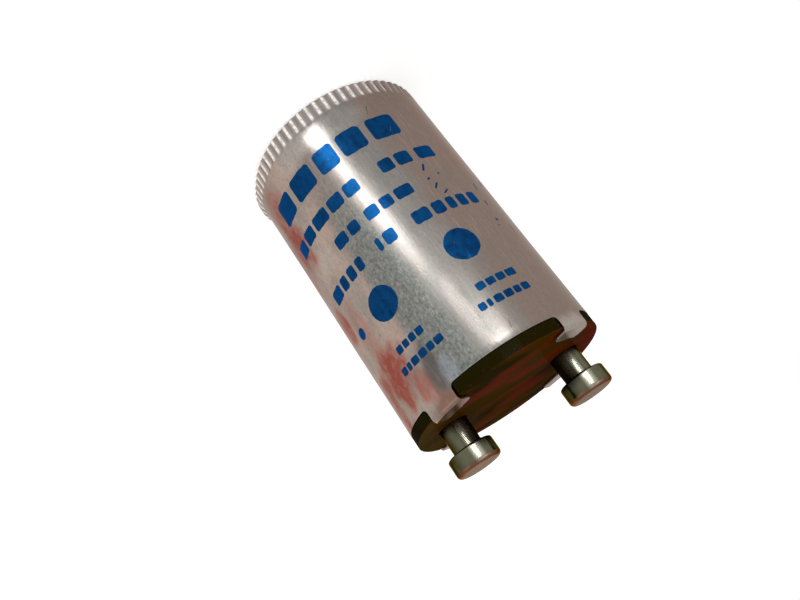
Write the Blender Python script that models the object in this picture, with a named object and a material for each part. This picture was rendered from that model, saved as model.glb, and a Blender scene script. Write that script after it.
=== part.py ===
"""Fluorescent starter: a drawn can with a ribbed edge, crimped over a phenolic base that carries two headed
pins. Inside are a paper liner, a glow lamp with its bimetal strip, and a disc capacitor.

The part stands on the can's closed end. The origin is the middle of that end, +Z runs up to the pins, and the
pins lie along X. All sizes are in metres.
"""

import math

import bmesh
import bpy
from mathutils import Matrix, Vector

# Driving dimensions: can

CAN_RADIUS = 0.0102
CAN_DEPTH = 0.03145
CAN_SHEET = 0.00025
CAN_EDGE_INNER_RADIUS = 0.00025
RIB_COUNT = 66
RIB_HEIGHT = 0.0023
RIB_DEPTH = 0.00016
RIB_RUN_OUT = 0.0005
KNOCK_DEPTH = 0.0004
KNOCK_HEIGHT = 0.0012
KNOCK_TURN = math.radians(14)
KNOCK_SPREAD = math.radians(34)
TAB_WIDTH = 0.00363
TAB_REACH = 0.0020
TAB_TRIM = 0.0002
TAB_CORNER_RADIUS = 0.0006
TAB_FOLD_INNER_RADIUS = 0.0002
TAB_SPREAD = math.radians(42.85)
TAB_TURN = math.radians(2.9)
WINDOW_CORNER_RADIUS = 0.0005

# Driving dimensions: base disc and pins

DISC_THICKNESS = 0.00125
DISC_INSET = 0.00003
DISC_CHAMFER = 0.00018
NOTCH_CLEARANCE = 0.0002
PIN_SPACING = 0.0127
NECK_RADIUS = 0.00148
NECK_LENGTH = 0.00268
NECK_SEAT_DEPTH = 0.00015
NECK_SEAT_CLEARANCE = 0.00005
HEAD_RADIUS = 0.00237
HEAD_LENGTH = 0.0019
HEAD_END_RADIUS = 0.0004
HEAD_NECK_RADIUS = 0.0002
SHANK_RADIUS = 0.0010
SHANK_CLEARANCE = 0.00005
RIVET_RADIUS = 0.0015
RIVET_HEIGHT = 0.0005
RIVET_BULGE = math.radians(60)
RIVET_DIMPLE_RADIUS = 0.00045

# Driving dimensions: solder lugs and wires

LUG_SHEET = 0.00025
LUG_RADIUS = 0.0021
LUG_WALL_CLEARANCE = 0.0003
LUG_TAIL_LENGTH = 0.0023
LUG_BEND_INNER_RADIUS = 0.0002
EAR_WIDTH = 0.0030
EAR_LENGTH = 0.0021
EAR_HOLE_SPACING = 0.0015
EAR_HOLE_DROP = 0.0013
WIRE_RADIUS = 0.0002
WIRE_END_LENGTH = 0.0006
WIRE_BEND_RADIUS = 0.0006
WIRE_BEND_SHARE = 0.45
WIRE_HOLE_CLEARANCE = 0.00006

# Driving dimensions: liner

LINER_SHEET = 0.0002
LINER_CLEARANCE = 0.0001
LINER_TOP_CLEARANCE = 0.0003
LINER_OVERLAP = math.radians(25)
LINER_RAMP = math.radians(20)

# Driving dimensions: glow lamp

BULB_OFFSET = 0.0026
BULB_RADIUS = 0.0039
BULB_WALL = 0.0005
BULB_LENGTH = 0.0190
BULB_DROP = 0.0037
BULB_DOME_HEIGHT = 0.0030
BULB_TIP_RADIUS = 0.0007
BULB_TIP_LENGTH = 0.0013
BULB_TIP_END_RADIUS = 0.0002
STEM_LENGTH = 0.0024
STEM_RIM_LENGTH = 0.0006
STEM_TAPER_LENGTH = 0.0015
STEM_NOSE_RADIUS = 0.0019
POST_SPACING = 0.0022
ELECTRODE_LENGTH = 0.0105
BIMETAL_POST_LENGTH = 0.0050
STRIP_SHEET = 0.0002
STRIP_WIDTH = 0.0020
STRIP_WELD_LENGTH = 0.0024
STRIP_LEG_LENGTH = 0.0064
STRIP_CONTACT_GAP = 0.0006
STRIP_FREE_LEG_LENGTH = 0.0052

# Driving dimensions: capacitor

CAPACITOR_OFFSET = 0.0040
CAPACITOR_RADIUS = 0.0040
CAPACITOR_THICKNESS = 0.0026
CAPACITOR_DROP = 0.0100
CAPACITOR_LEAD_SPACING = 0.0050
CAPACITOR_LEAD_DEPTH = 0.0010

# The clearance left between pieces that touch, and how finely round forms are drawn

SEAT_GAP = 0.00005
ROUND_STEPS = 32
FINE_ROUND_STEPS = 48
CAN_STEPS = 2 * RIB_COUNT
ARC_STEPS = 3
WIRE_SIDES_LEVEL = 1

# Heights that follow from the sizes above

DISC_INNER_Z = CAN_DEPTH + SEAT_GAP
DISC_OUTER_Z = DISC_INNER_Z + DISC_THICKNESS
TAB_INNER_Z = DISC_OUTER_Z + SEAT_GAP
TAB_OUTER_Z = TAB_INNER_Z + CAN_SHEET
NECK_SEAT_Z = DISC_OUTER_Z - NECK_SEAT_DEPTH
NECK_Z = NECK_SEAT_Z + SEAT_GAP
HEAD_Z = DISC_OUTER_Z + NECK_LENGTH
HEAD_END_Z = HEAD_Z + HEAD_LENGTH
LUG_OUTER_Z = DISC_INNER_Z - SEAT_GAP
LUG_INNER_Z = LUG_OUTER_Z - LUG_SHEET
RIVET_Z = LUG_INNER_Z - SEAT_GAP
EAR_HOLE_Z = LUG_INNER_Z - EAR_HOLE_DROP
EAR_INNER_X = PIN_SPACING / 2 - LUG_TAIL_LENGTH - LUG_BEND_INNER_RADIUS - LUG_SHEET
BULB_MOUTH_Z = DISC_INNER_Z - BULB_DROP
CAPACITOR_Z = DISC_INNER_Z - CAPACITOR_DROP


def clear_scene():
    for obj in list(bpy.data.objects):
        bpy.data.objects.remove(obj, do_unlink=True)


def material(name, colour, roughness, metallic=0.0, transmission=0.0):
    made = bpy.data.materials.new(name)
    made.use_nodes = True
    shader = made.node_tree.nodes["Principled BSDF"]
    shader.inputs["Base Color"].default_value = (*colour, 1.0)
    shader.inputs["Roughness"].default_value = roughness
    shader.inputs["Metallic"].default_value = metallic
    shader.inputs["Transmission Weight"].default_value = transmission
    return made


def object_from(name, shape, finish=None, smooth_angle=35):
    """Closes a bmesh and puts it in the scene, with its round stretches shaded smooth."""
    bmesh.ops.recalc_face_normals(shape, faces=shape.faces)
    mesh = bpy.data.meshes.new(name)
    shape.to_mesh(mesh)
    shape.free()
    mesh.shade_smooth()
    mesh.set_sharp_from_angle(angle=math.radians(smooth_angle))
    obj = bpy.data.objects.new(name, mesh)
    bpy.context.scene.collection.objects.link(obj)
    if finish:
        mesh.materials.append(finish)
    return obj


def cutter_from(name, shape):
    """A helper solid that only cuts others, so it is left out of the model."""
    obj = object_from(name, shape)
    obj.hide_render = True
    obj.display_type = "WIRE"
    return obj


def cut(obj, cutter):
    modifier = obj.modifiers.new(cutter.name, "BOOLEAN")
    modifier.operation = "DIFFERENCE"
    modifier.solver = "EXACT"
    modifier.object = cutter


def arc(centre, radius, start, end, steps=ARC_STEPS):
    """Points along an arc in the plane of a profile, both ends with it. Angles are in degrees."""
    angles = [math.radians(start + (end - start) * i / steps) for i in range(steps + 1)]
    return [(centre[0] + radius * math.cos(a), centre[1] + radius * math.sin(a)) for a in angles]


def turned(profile, steps=ROUND_STEPS):
    """Spins a profile of (radius, height) points round Z. It runs from axis to axis, or closes on itself."""
    shape = bmesh.new()
    points = [shape.verts.new((radius, 0, height)) for radius, height in profile]
    edges = [shape.edges.new(pair) for pair in zip(points, points[1:])]
    if profile[0][0] > 0:
        edges.append(shape.edges.new((points[-1], points[0])))
    bmesh.ops.spin(
        shape, geom=points + edges, axis=(0, 0, 1), cent=(0, 0, 0), steps=steps, angle=math.tau, use_merge=True
    )
    bmesh.ops.remove_doubles(shape, verts=shape.verts, dist=1e-7)
    return shape


def prism(outline, bottom, top):
    """A flat outline of (x, y) points, raised from one height to another."""
    shape = bmesh.new()
    face = shape.faces.new([shape.verts.new((x, y, bottom)) for x, y in outline])
    raised = bmesh.ops.extrude_face_region(shape, geom=[face])["geom"]
    lifted = [item for item in raised if isinstance(item, bmesh.types.BMVert)]
    bmesh.ops.translate(shape, verts=lifted, vec=(0, 0, top - bottom))
    return shape


def ribbon(path, thickness, width):
    """A strip of sheet bent along a path of (x, y) points, with its width along Z."""
    shape = bmesh.new()
    rings = []
    for i, point in enumerate(path):
        before = Vector(path[max(i - 1, 0)])
        after = Vector(path[min(i + 1, len(path) - 1)])
        along = (after - before).normalized()
        across = Vector((-along.y, along.x)) * thickness / 2
        middle = Vector(point)
        corners = [(middle + across, 0), (middle + across, width), (middle - across, width), (middle - across, 0)]
        rings.append([shape.verts.new((place.x, place.y, z)) for place, z in corners])
    for ring, following in zip(rings, rings[1:]):
        join_rings(shape, ring, following)
    shape.faces.new(rings[0])
    shape.faces.new(rings[-1])
    return shape


def join_rings(shape, ring, following):
    """Skins the gap between two closed rings. The first may have as many points as the second, or twice."""
    count = len(following)
    step = len(ring) // count
    for i in range(count):
        near, far = following[i], following[(i + 1) % count]
        side = [ring[(step * i + k) % len(ring)] for k in range(step + 1)]
        if step == 1:
            shape.faces.new((side[0], side[1], far, near))
        else:
            shape.faces.new((side[0], side[1], near))
            shape.faces.new((side[1], side[2], far, near))


def rounded_path(corners, radius, steps=ARC_STEPS):
    """A wire's centre line: straight between the corners, and bent round each inner corner."""
    points = [Vector(corners[0])]
    for before, corner, after in zip(corners, corners[1:], corners[2:]):
        corner = Vector(corner)
        to_before = Vector(before) - corner
        to_after = Vector(after) - corner
        bend = math.pi - to_before.angle(to_after)
        shorter = min(to_before.length, to_after.length)
        reach = min(radius * math.tan(bend / 2), WIRE_BEND_SHARE * shorter)
        start = corner + to_before.normalized() * reach
        end = corner + to_after.normalized() * reach
        for i in range(steps + 1):
            t = i / steps
            points.append(start * (1 - t) ** 2 + corner * 2 * t * (1 - t) + end * t ** 2)
    points.append(Vector(corners[-1]))
    return points


def wire(name, corners, finish):
    curve = bpy.data.curves.new(name, "CURVE")
    curve.dimensions = "3D"
    curve.bevel_depth = WIRE_RADIUS
    curve.bevel_resolution = WIRE_SIDES_LEVEL
    curve.use_fill_caps = True
    points = rounded_path(corners, WIRE_BEND_RADIUS)
    spline = curve.splines.new("POLY")
    spline.points.add(len(points) - 1)
    for point, place in zip(spline.points, points):
        point.co = (*place, 1)
    spline.use_smooth = True
    obj = bpy.data.objects.new(name, curve)
    bpy.context.scene.collection.objects.link(obj)
    curve.materials.append(finish)
    return obj


def round_cutter(name, radius, start, end, steps=ROUND_STEPS // 2):
    """A round bar between two points, which drills a hole."""
    start, end = Vector(start), Vector(end)
    shape = bmesh.new()
    bmesh.ops.create_cone(
        shape, cap_ends=True, segments=steps, radius1=radius, radius2=radius, depth=(end - start).length
    )
    turn = (end - start).to_track_quat("Z", "Y").to_matrix().to_4x4()
    bmesh.ops.transform(shape, matrix=Matrix.Translation((start + end) / 2) @ turn, verts=shape.verts)
    return cutter_from(name, shape)


def rib_depth_at(angle, height):
    """How far the rolled ribs sink the can's outside: full depth up the band, then a run-out to nothing."""
    fade = min(1.0, max(0.0, (RIB_HEIGHT - height) / RIB_RUN_OUT))
    return RIB_DEPTH * fade * (1 - math.cos(RIB_COUNT * angle)) / 2


def knock_at(angle, height):
    """How far a knock has pushed out one side of the can's edge: a soft lump that ends with the ribs."""
    aside = min(1.0, abs(math.remainder(angle - KNOCK_TURN, math.tau)) / KNOCK_SPREAD)
    above = min(1.0, max(0.0, (height - KNOCK_HEIGHT) / (RIB_HEIGHT - KNOCK_HEIGHT)))
    return KNOCK_DEPTH * (1 + math.cos(math.pi * aside)) * (1 + math.cos(math.pi * above)) / 4


def can_shell():
    """The drawn cup, closed below, with its rim folded in all the way round before the tabs are cut free."""
    edge = CAN_EDGE_INNER_RADIUS + CAN_SHEET
    fold = TAB_FOLD_INNER_RADIUS + CAN_SHEET
    inside = CAN_RADIUS - CAN_SHEET
    rim_end = CAN_RADIUS - TAB_REACH - TAB_TRIM
    band = [KNOCK_HEIGHT, RIB_HEIGHT - RIB_RUN_OUT, RIB_HEIGHT]
    outer = arc((CAN_RADIUS - edge, edge), edge, -90, 0)
    outer += [(CAN_RADIUS, height) for height in band]
    outer += arc((CAN_RADIUS - fold, TAB_OUTER_Z - fold), fold, 0, 90)
    outer += [(rim_end, TAB_OUTER_Z)]
    inner = [(rim_end, TAB_INNER_Z)]
    inner += arc((CAN_RADIUS - fold, TAB_OUTER_Z - fold), TAB_FOLD_INNER_RADIUS, 90, 0)
    inner += [(inside, height) for height in reversed(band)]
    inner += arc((inside - CAN_EDGE_INNER_RADIUS, edge), CAN_EDGE_INNER_RADIUS, 0, -90)

    shape = bmesh.new()
    rings = []
    for profile, count in ((outer, 2 * CAN_STEPS), (inner, CAN_STEPS)):
        for radius, height in profile:
            ring = []
            for i in range(count):
                angle = math.tau * i / count
                ribs = rib_depth_at(angle, height) if profile is outer else 0.0
                reach = radius + knock_at(angle, height) - ribs
                ring.append(shape.verts.new((reach * math.cos(angle), reach * math.sin(angle), height)))
            rings.append(ring)
    for ring, following in zip(rings, rings[1:]):
        join_rings(shape, ring, following)
    shape.faces.new(rings[0])
    shape.faces.new(rings[-1])
    return shape


def tab_angles():
    """Two tabs stand on each side of the pins' line, and the whole pattern is turned a little."""
    sides = (TAB_TURN - math.pi / 2, TAB_TURN + math.pi / 2)
    return [side + spread for side in sides for spread in (-TAB_SPREAD, TAB_SPREAD)]


def tab_guard(index, angle, bottom, top):
    """What the window cutter leaves standing for one tab: as wide as the tab, with its free corners rounded, and
    flared to the windows' corners."""
    half = TAB_WIDTH / 2
    flare = WINDOW_CORNER_RADIUS
    sill = bottom - flare
    free_end = CAN_RADIUS - TAB_REACH
    corner = (free_end + TAB_CORNER_RADIUS, half - TAB_CORNER_RADIUS)
    shape = bmesh.new()
    rings = []
    for reach, side in arc(corner, TAB_CORNER_RADIUS, 180, 90) + [(CAN_RADIUS + flare, half)]:
        right = arc((side + flare, bottom + flare), flare, -90, -180)
        left = [(-y, z) for y, z in reversed(right)]
        outline = [(side + flare, sill)] + right + [(side, top), (-side, top)] + left + [(-side - flare, sill)]
        rings.append([shape.verts.new((reach, y, z)) for y, z in outline])
    for ring, following in zip(rings, rings[1:]):
        join_rings(shape, ring, following)
    shape.faces.new(rings[0])
    shape.faces.new(rings[-1])
    bmesh.ops.transform(shape, matrix=Matrix.Rotation(angle, 4, "Z"), verts=shape.verts)
    return cutter_from(f"tab_guard_{index}", shape)


def window_cutter():
    """Clears the can's crown between the tabs, down to the edges that the base disc lies on."""
    outer = CAN_RADIUS + CAN_SHEET
    top = TAB_OUTER_Z + CAN_SHEET
    shape = turned([(0, top), (outer, top), (outer, CAN_DEPTH), (0, CAN_DEPTH)], CAN_STEPS)
    cutter = cutter_from("window_cutter", shape)
    for index, angle in enumerate(tab_angles()):
        cut(cutter, tab_guard(index, angle, CAN_DEPTH, top + CAN_SHEET))
    return cutter


def make_can():
    aluminium = material("can_aluminium", (0.66, 0.60, 0.54), 0.32, metallic=1.0)
    can = object_from("can", can_shell(), aluminium, smooth_angle=40)
    cut(can, window_cutter())


def disc_outline():
    """A circle a little smaller than the can, with a straight-bottomed notch for each tab."""
    radius = CAN_RADIUS - DISC_INSET
    half = TAB_WIDTH / 2 + NOTCH_CLEARANCE
    inside = CAN_RADIUS - CAN_SHEET
    bottom = math.sqrt(inside ** 2 - half ** 2) - TAB_FOLD_INNER_RADIUS
    corner = math.degrees(math.asin(half / radius))
    angles = [math.degrees(angle) for angle in tab_angles()]
    outline = []
    for here, following in zip(angles, angles[1:] + [angles[0] + 360]):
        turn = Matrix.Rotation(math.radians(here), 2)
        outline += [tuple(turn @ Vector((bottom, side))) for side in (-half, half)]
        outline += arc((0, 0), radius, here + corner, following - corner, FINE_ROUND_STEPS // len(angles))
    return outline


def make_base_disc():
    """Each pin's neck stands in a shallow seat in the disc's outer face, and its shank goes on through."""
    phenolic = material("disc_phenolic", (0.045, 0.018, 0.010), 0.22)
    shape = prism(disc_outline(), DISC_INNER_Z, DISC_OUTER_Z)
    rims = [edge for edge in shape.edges if abs(edge.verts[0].co.z - edge.verts[1].co.z) < SEAT_GAP / 2]
    bmesh.ops.bevel(shape, geom=rims, offset=DISC_CHAMFER, segments=1, affect="EDGES", clamp_overlap=True)
    disc = object_from("base_disc", shape, phenolic)
    for side, name in ((-1, "left"), (1, "right")):
        x = side * PIN_SPACING / 2
        drill = round_cutter(
            f"shank_hole_{name}",
            SHANK_RADIUS + SHANK_CLEARANCE,
            (x, 0, DISC_INNER_Z - DISC_THICKNESS),
            (x, 0, DISC_OUTER_Z + DISC_THICKNESS),
            ROUND_STEPS,
        )
        seat = round_cutter(
            f"neck_seat_{name}",
            NECK_RADIUS + NECK_SEAT_CLEARANCE,
            (x, 0, NECK_SEAT_Z),
            (x, 0, DISC_OUTER_Z + DISC_THICKNESS),
            ROUND_STEPS,
        )
        cut(disc, drill)
        cut(disc, seat)


def pin_profile():
    """Head, neck, shank through the disc, and the riveted end with the punch's dimple, from the top down."""
    rivet_end = RIVET_Z - RIVET_HEIGHT
    bulge_height = RIVET_HEIGHT / math.sin(RIVET_BULGE)
    profile = [(0, HEAD_END_Z)]
    profile += arc((HEAD_RADIUS - HEAD_END_RADIUS, HEAD_END_Z - HEAD_END_RADIUS), HEAD_END_RADIUS, 90, 0)
    profile += arc((HEAD_RADIUS - HEAD_NECK_RADIUS, HEAD_Z + HEAD_NECK_RADIUS), HEAD_NECK_RADIUS, 0, -90, 2)
    profile += [(NECK_RADIUS, HEAD_Z), (NECK_RADIUS, NECK_Z), (SHANK_RADIUS, NECK_Z), (SHANK_RADIUS, RIVET_Z)]
    bulge = arc((0, 0), 1, 0, -math.degrees(RIVET_BULGE))
    profile += [(RIVET_RADIUS * across, RIVET_Z + bulge_height * down) for across, down in bulge]
    profile += [(RIVET_DIMPLE_RADIUS, rivet_end), (0, rivet_end + RIVET_HEIGHT / 2)]
    return profile


def make_pin(name, side, nickel):
    pin = object_from(name, turned(pin_profile()), nickel)
    pin.location.x = side * PIN_SPACING / 2


def lug_outline():
    """A round washer with a tail towards local +X. Where the can's wall is near, the washer is cut straight."""
    half = EAR_WIDTH / 2
    meet = math.degrees(math.asin(half / LUG_RADIUS))
    tail = [(LUG_TAIL_LENGTH, -half), (LUG_TAIL_LENGTH, half)]
    room = CAN_RADIUS - CAN_SHEET - LUG_WALL_CLEARANCE - PIN_SPACING / 2
    washer = arc((0, 0), LUG_RADIUS, meet, 360 - meet, ROUND_STEPS // 2)
    return tail + [(max(x, -room), y) for x, y in washer]


def make_lug(name, side, brass):
    """Stamped tag: its washer lies under the rivet, and its ear is bent away from the disc to take the wires."""
    shape = prism(lug_outline(), LUG_INNER_Z, LUG_OUTER_Z)
    shape.faces.ensure_lookup_table()
    tail = [face for face in shape.faces if face.calc_center_median().x > LUG_TAIL_LENGTH - SEAT_GAP]
    hinge = (LUG_TAIL_LENGTH, 0, LUG_INNER_Z - LUG_BEND_INNER_RADIUS)
    bent = bmesh.ops.spin(
        shape, geom=tail, cent=hinge, axis=(0, 1, 0), steps=ARC_STEPS, angle=math.pi / 2, use_merge=False
    )
    end = [item for item in bent["geom_last"] if isinstance(item, bmesh.types.BMFace)]
    drawn = bmesh.ops.extrude_face_region(shape, geom=end)["geom"]
    moved = [item for item in drawn if isinstance(item, bmesh.types.BMVert)]
    bmesh.ops.translate(shape, verts=moved, vec=(0, 0, -EAR_LENGTH))
    bmesh.ops.delete(shape, geom=tail + end, context="FACES_ONLY")
    lug = object_from(name, shape, brass)
    lug.location.x = side * PIN_SPACING / 2
    lug.rotation_euler.z = math.pi if side > 0 else 0.0

    x = side * PIN_SPACING / 2
    shank = round_cutter(
        f"{name}_shank_hole",
        SHANK_RADIUS + SHANK_CLEARANCE,
        (x, 0, LUG_INNER_Z - LUG_SHEET),
        (x, 0, LUG_OUTER_Z + LUG_SHEET),
        ROUND_STEPS,
    )
    cut(lug, shank)
    for index, y in enumerate((-EAR_HOLE_SPACING / 2, EAR_HOLE_SPACING / 2)):
        drill = round_cutter(
            f"{name}_wire_hole_{index}",
            WIRE_RADIUS + WIRE_HOLE_CLEARANCE,
            (side * (EAR_INNER_X - LUG_SHEET), y, EAR_HOLE_Z),
            (side * (EAR_INNER_X + 2 * LUG_SHEET), y, EAR_HOLE_Z),
        )
        cut(lug, drill)


def liner_path():
    """Once round the can and a little more, so that the paper's end lies over its start."""
    lift = LINER_SHEET + SEAT_GAP
    inner = CAN_RADIUS - CAN_SHEET - LINER_CLEARANCE - LINER_SHEET / 2 - lift
    whole = math.tau + LINER_OVERLAP
    steps = round(ROUND_STEPS * 2 * whole / math.tau)
    points = []
    for i in range(steps + 1):
        angle = whole * i / steps
        rise = min(1.0, max(0.0, (angle - (math.tau - LINER_RAMP)) / LINER_RAMP))
        radius = inner + lift * rise
        points.append((radius * math.cos(angle), radius * math.sin(angle)))
    return points


def make_liner():
    paper = material("liner_paper", (0.52, 0.42, 0.28), 0.85)
    bottom = CAN_SHEET + CAN_EDGE_INNER_RADIUS + SEAT_GAP
    top = RIVET_Z - RIVET_HEIGHT - LINER_TOP_CLEARANCE
    liner = object_from("insulating_liner", ribbon(liner_path(), LINER_SHEET, top - bottom), paper)
    liner.location.z = bottom
    liner.rotation_euler.z = math.pi / 2


def make_glow_bulb(glass):
    """A glass tube, open where the stem plugs it. Its far end is domed and drawn out to a sealed tip."""
    dome_z = BULB_MOUTH_Z - BULB_LENGTH + BULB_DOME_HEIGHT
    dome_end = dome_z - BULB_DOME_HEIGHT
    tip_end = dome_end - BULB_TIP_LENGTH
    bore = BULB_RADIUS - BULB_WALL
    quarter = arc((0, 0), 1, 90, 0, 3 * ARC_STEPS)
    outer = [(BULB_RADIUS * across, dome_z - BULB_DOME_HEIGHT * down) for across, down in quarter]
    inner = [(bore * across, dome_z - (BULB_DOME_HEIGHT - BULB_WALL) * down) for across, down in quarter]
    profile = [(0, tip_end), (BULB_TIP_END_RADIUS, tip_end), (BULB_TIP_RADIUS, (tip_end + dome_end) / 2)]
    profile += [(BULB_TIP_RADIUS, dome_end)] + [point for point in outer if point[0] > BULB_TIP_RADIUS]
    profile += [(BULB_RADIUS, BULB_MOUTH_Z), (bore, BULB_MOUTH_Z)] + list(reversed(inner))
    bulb = object_from("glow_bulb_envelope", turned(profile), glass)
    bulb.location.y = BULB_OFFSET


def make_stem(glass):
    """The plug of glass in the tube's mouth, narrowed to the pinch that grips both leads."""
    rim = BULB_RADIUS - BULB_WALL - SEAT_GAP
    nose = BULB_MOUTH_Z - STEM_LENGTH
    profile = [(0, BULB_MOUTH_Z), (rim, BULB_MOUTH_Z), (rim, BULB_MOUTH_Z - STEM_RIM_LENGTH)]
    profile += [(STEM_NOSE_RADIUS, BULB_MOUTH_Z - STEM_TAPER_LENGTH), (STEM_NOSE_RADIUS, nose), (0, nose)]
    stem = object_from("glow_bulb_stem", turned(profile), glass)
    stem.location.y = BULB_OFFSET
    for side, name in ((-1, "left"), (1, "right")):
        x = side * POST_SPACING / 2
        drill = round_cutter(
            f"stem_hole_{name}",
            WIRE_RADIUS + SEAT_GAP,
            (x, BULB_OFFSET, nose - STEM_LENGTH / 2),
            (x, BULB_OFFSET, BULB_MOUTH_Z + STEM_LENGTH / 2),
        )
        cut(stem, drill)


def ear_end(side, y):
    """Where a wire passes through the ear on one side: just inside the ear, and its cut end beyond it."""
    entry = (side * (EAR_INNER_X - WIRE_BEND_RADIUS - LUG_SHEET), y, EAR_HOLE_Z)
    end = (side * (EAR_INNER_X + LUG_SHEET + WIRE_END_LENGTH), y, EAR_HOLE_Z)
    return [entry, end]


def make_bulb_leads(nickel):
    """Each lead runs from its lug through the stem. One ends as the fixed electrode, and one holds the strip."""
    y = EAR_HOLE_SPACING / 2
    for side, name, length in ((-1, "electrode_lead", ELECTRODE_LENGTH), (1, "bimetal_lead", BIMETAL_POST_LENGTH)):
        x = side * POST_SPACING / 2
        inside = (x, BULB_OFFSET, BULB_MOUTH_Z - STEM_LENGTH - length)
        turn = (x, BULB_OFFSET, (BULB_MOUTH_Z + EAR_HOLE_Z) / 2)
        wire(name, [inside, turn] + ear_end(side, y), nickel)


def make_bimetal_strip(bimetal):
    """A U of strip: one leg lies on its post, and the free leg comes back beside the fixed electrode."""
    fixed_x = POST_SPACING / 2 + WIRE_RADIUS + SEAT_GAP + STRIP_SHEET / 2
    free_x = -POST_SPACING / 2 + WIRE_RADIUS + STRIP_CONTACT_GAP + STRIP_SHEET / 2
    bend = (fixed_x - free_x) / 2
    post_end = BULB_MOUTH_Z - STEM_LENGTH - BIMETAL_POST_LENGTH
    start = post_end + STRIP_WELD_LENGTH
    turn = start - STRIP_LEG_LENGTH
    round_end = arc(((fixed_x + free_x) / 2, -turn), bend, 0, 180, 3 * ARC_STEPS)
    path = [(fixed_x, -start)] + round_end + [(free_x, -turn - STRIP_FREE_LEG_LENGTH)]
    strip = object_from("bimetal_strip", ribbon(path, STRIP_SHEET, STRIP_WIDTH), bimetal)
    strip.rotation_euler.x = -math.pi / 2
    strip.location.y = BULB_OFFSET - STRIP_WIDTH / 2


def lead_entry(side):
    """Where a lead goes into the capacitor's rim, as a height above the middle of its body."""
    x = side * CAPACITOR_LEAD_SPACING / 2
    return x, CAPACITOR_Z + math.sqrt(CAPACITOR_RADIUS ** 2 - x ** 2)


def make_capacitor():
    """A dipped ceramic disc on edge: a lens with a round rim, and a drilled seat for each lead."""
    ceramic = material("capacitor_ceramic", (0.50, 0.26, 0.07), 0.45)
    half = CAPACITOR_THICKNESS / 2
    flat = CAPACITOR_RADIUS - half
    profile = [(0, half)] + arc((flat, 0), half, 90, -90, 2 * ARC_STEPS) + [(0, -half)]
    body = object_from("capacitor_body", turned(profile), ceramic)
    body.rotation_euler.x = math.pi / 2
    body.location = (0, -CAPACITOR_OFFSET, CAPACITOR_Z)
    for side, name in ((-1, "left"), (1, "right")):
        x, z = lead_entry(side)
        drill = round_cutter(
            f"lead_seat_{name}",
            WIRE_RADIUS + SEAT_GAP,
            (x, -CAPACITOR_OFFSET, z - CAPACITOR_LEAD_DEPTH),
            (x, -CAPACITOR_OFFSET, z + CAPACITOR_LEAD_DEPTH),
        )
        cut(body, drill)


def make_capacitor_leads(copper):
    for side, name in ((-1, "capacitor_lead_left"), (1, "capacitor_lead_right")):
        x, z = lead_entry(side)
        seat = (x, -CAPACITOR_OFFSET, z - CAPACITOR_LEAD_DEPTH + SEAT_GAP)
        turn = (x, -CAPACITOR_OFFSET, (z + EAR_HOLE_Z) / 2)
        wire(name, [seat, turn] + ear_end(side, -EAR_HOLE_SPACING / 2), copper)


def main():
    clear_scene()
    nickel = material("pin_nickel", (0.60, 0.58, 0.50), 0.28, metallic=1.0)
    brass = material("lug_brass", (0.62, 0.46, 0.22), 0.35, metallic=1.0)
    tinned = material("lead_tinned", (0.62, 0.62, 0.60), 0.35, metallic=1.0)
    bimetal = material("strip_bimetal", (0.50, 0.46, 0.42), 0.40, metallic=1.0)
    glass = material("bulb_glass", (0.85, 0.90, 0.88), 0.08, transmission=0.9)
    make_can()
    make_liner()
    make_base_disc()
    for side, name in ((-1, "left"), (1, "right")):
        make_pin(f"contact_pin_{name}", side, nickel)
        make_lug(f"solder_lug_{name}", side, brass)
    make_glow_bulb(glass)
    make_stem(glass)
    make_bulb_leads(nickel)
    make_bimetal_strip(bimetal)
    make_capacitor()
    make_capacitor_leads(tinned)


main()
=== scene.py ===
import math
import random

import bmesh
import bpy
from mathutils import Euler, Matrix, Vector


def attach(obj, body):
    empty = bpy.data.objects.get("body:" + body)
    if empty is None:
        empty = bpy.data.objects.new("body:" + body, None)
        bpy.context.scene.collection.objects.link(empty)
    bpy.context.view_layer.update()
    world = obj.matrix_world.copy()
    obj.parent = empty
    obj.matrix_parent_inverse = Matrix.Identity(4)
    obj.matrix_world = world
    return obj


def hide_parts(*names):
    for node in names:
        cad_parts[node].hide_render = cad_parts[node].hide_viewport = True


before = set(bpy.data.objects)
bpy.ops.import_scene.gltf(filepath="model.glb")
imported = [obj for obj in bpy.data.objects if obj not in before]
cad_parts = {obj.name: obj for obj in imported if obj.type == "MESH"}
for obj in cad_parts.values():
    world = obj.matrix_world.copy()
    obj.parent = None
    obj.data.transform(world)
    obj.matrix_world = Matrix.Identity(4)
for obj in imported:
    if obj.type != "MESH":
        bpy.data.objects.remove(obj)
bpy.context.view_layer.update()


# The studio: a pale floor under the starter and a white room round it. Strip lamps lie on the
# floor, where the can's wall and the pins mirror them as bright streaks, and three large soft
# lamps fill in from the left, the right and behind. The camera stands where the photograph's did.

MM = 0.001


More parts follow.
